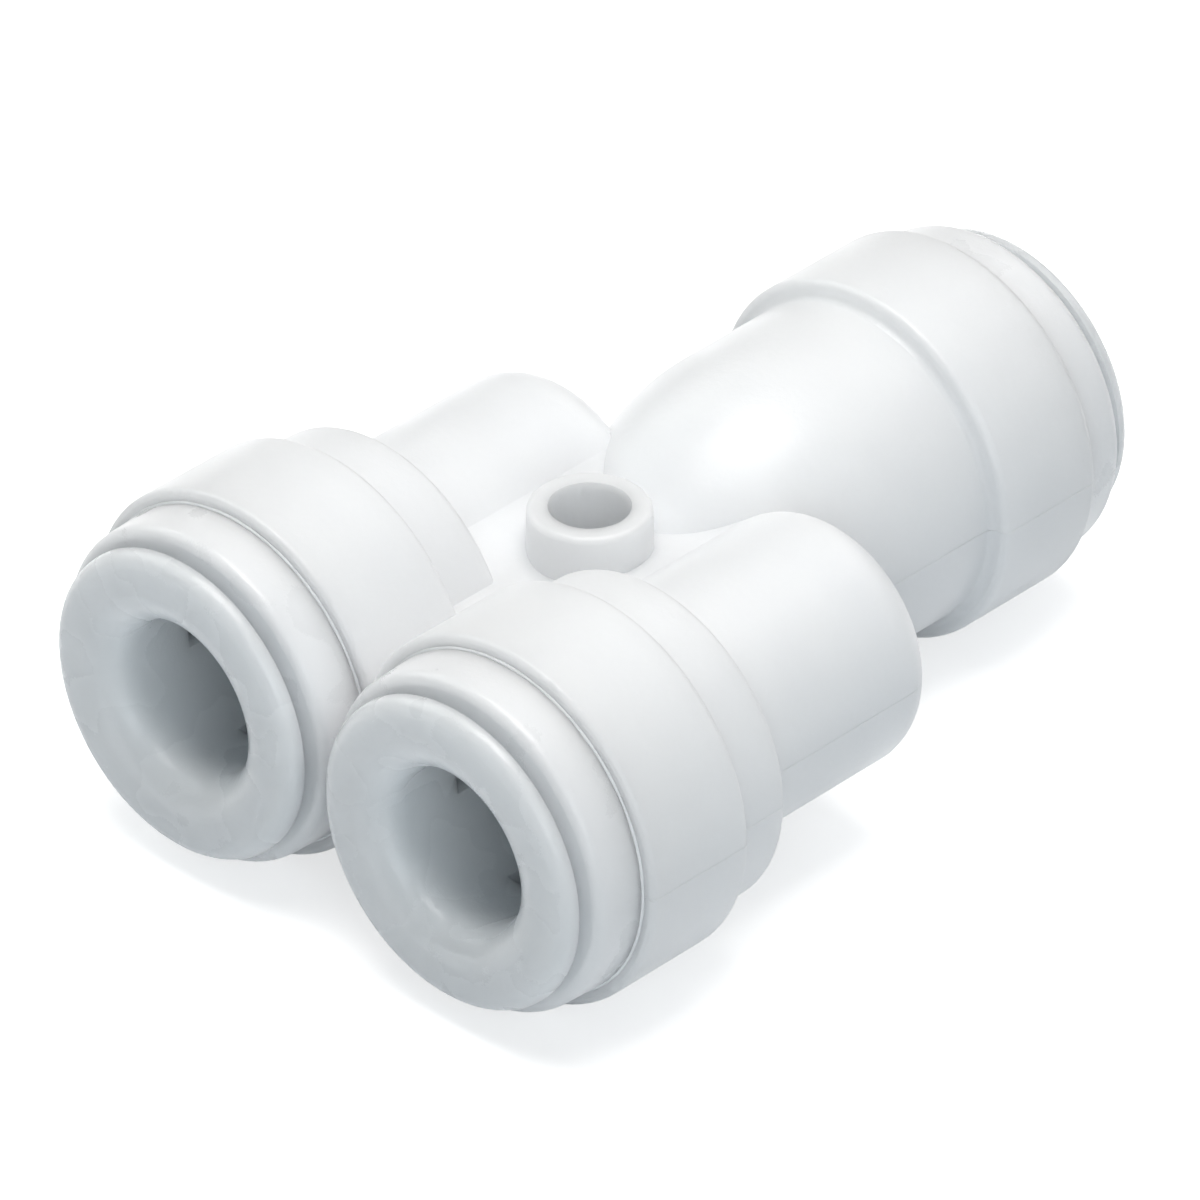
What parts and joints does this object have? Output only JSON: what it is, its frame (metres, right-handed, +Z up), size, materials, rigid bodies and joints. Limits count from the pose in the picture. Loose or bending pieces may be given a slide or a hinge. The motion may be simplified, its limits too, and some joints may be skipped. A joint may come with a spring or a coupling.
{
  "type": "tubing y connector",
  "caption": "White moulded push-in Y connector for plain tube: an inlet that divides into parallel outlets, sliding release collets and a central mounting hole.",
  "frame": {"origin": "on the mounting hole's axis, at the height of the three port axes", "axes": "+X across the two outlets, +Y from the outlets towards the inlet, +Z up along the mounting hole"},
  "size_m": [0.0294, 0.0392, 0.0152],
  "materials": {
    "body_plastic": "white moulded plastic, satin gloss",
    "cap_plastic": "white moulded plastic, satin gloss",
    "collet_plastic": "white moulded plastic, satin gloss",
    "tooth_steel": "sheared stainless strip",
    "seal_rubber": "black moulded rubber, lightly greased"
  },
  "bodies": {
    "housing": {"body": "body_plastic", "end_cap_left": "cap_plastic", "end_cap_right": "cap_plastic", "end_cap_inlet": "cap_plastic", "o_ring_left": "seal_rubber", "o_ring_right": "seal_rubber", "o_ring_inlet": "seal_rubber"},
    "left_collet": {"collet_left": "collet_plastic", "grip_teeth_left": "tooth_steel"},
    "right_collet": {"collet_right": "collet_plastic", "grip_teeth_right": "tooth_steel"},
    "inlet_collet": {"collet_inlet": "collet_plastic", "grip_teeth_inlet": "tooth_steel"}
  },
  "joints": [
    {"name": "left_collet_release", "type": "slide", "parent": "housing", "child": "left_collet", "axis": [0, 1, 0], "range_m": [0, 0.00045]},
    {"name": "right_collet_release", "type": "slide", "parent": "housing", "child": "right_collet", "axis": [0, 1, 0], "range_m": [0, 0.00045]},
    {"name": "inlet_collet_release", "type": "slide", "parent": "housing", "child": "inlet_collet", "axis": [0, -1, 0], "range_m": [0, 0.00045]}
  ]
}
